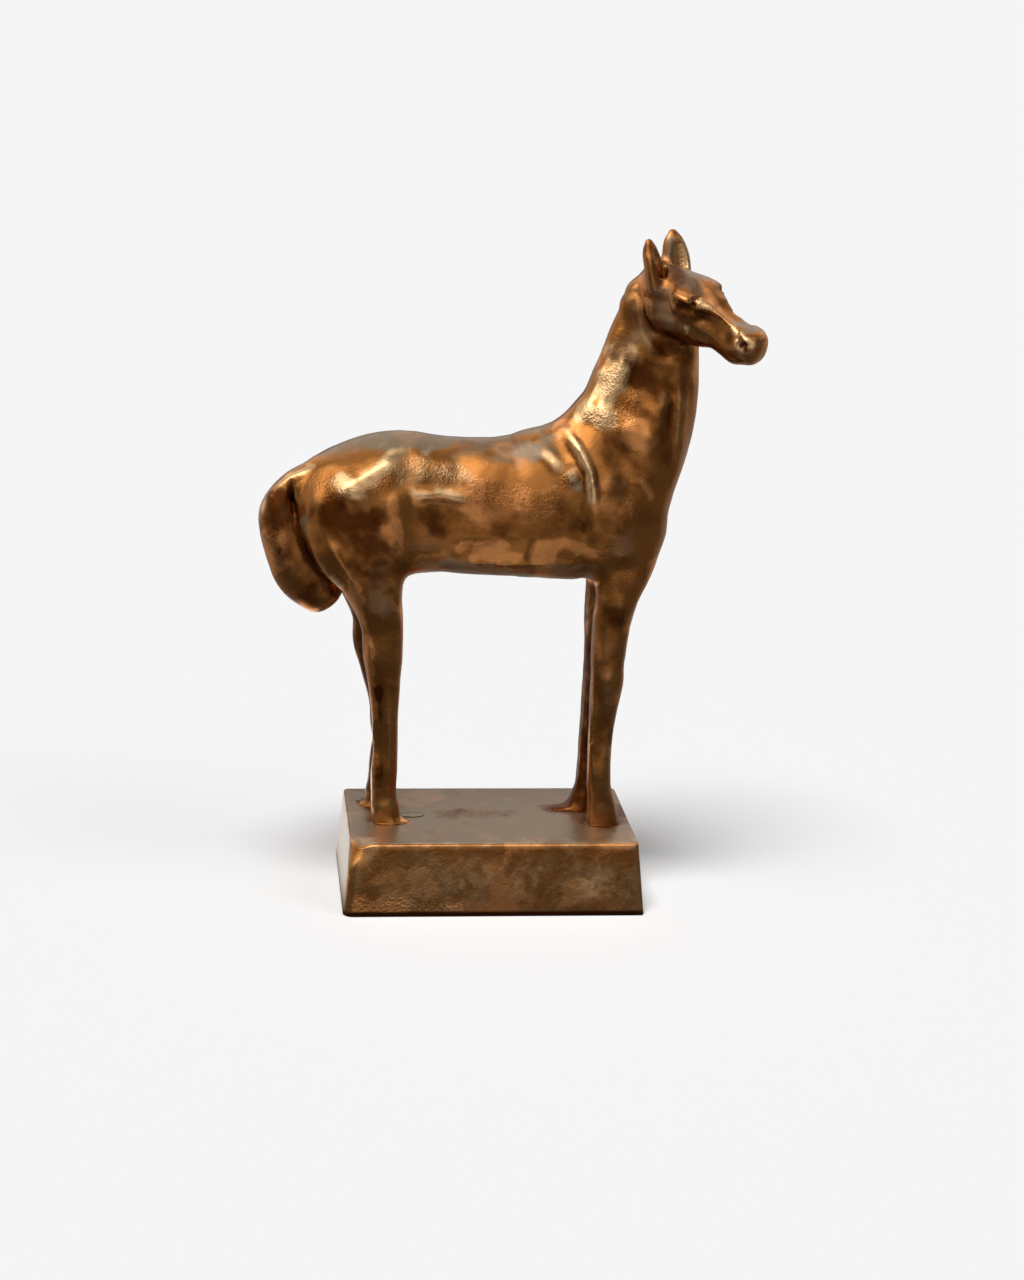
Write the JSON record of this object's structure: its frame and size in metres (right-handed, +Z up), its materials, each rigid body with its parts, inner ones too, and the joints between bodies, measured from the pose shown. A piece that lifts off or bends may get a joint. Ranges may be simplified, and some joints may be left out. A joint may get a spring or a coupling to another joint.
{
  "type": "horse sculpture",
  "caption": "Small cast bronze horse standing on a low tapered plinth, its head turned to one side and its tail hanging clear of the thighs.",
  "frame": {"origin": "centre of the plinth's underside", "axes": "+Z up, +X the way the horse stands facing, +Y to the horse's left; its head turns towards -Y"},
  "size_m": [0.1459, 0.0614, 0.2019],
  "materials": {
    "bronze": "polished sand-cast bronze with a brown patina left in the hollows"
  },
  "bodies": {
    "root": {"horse_and_plinth": "bronze"}
  },
  "joints": []
}
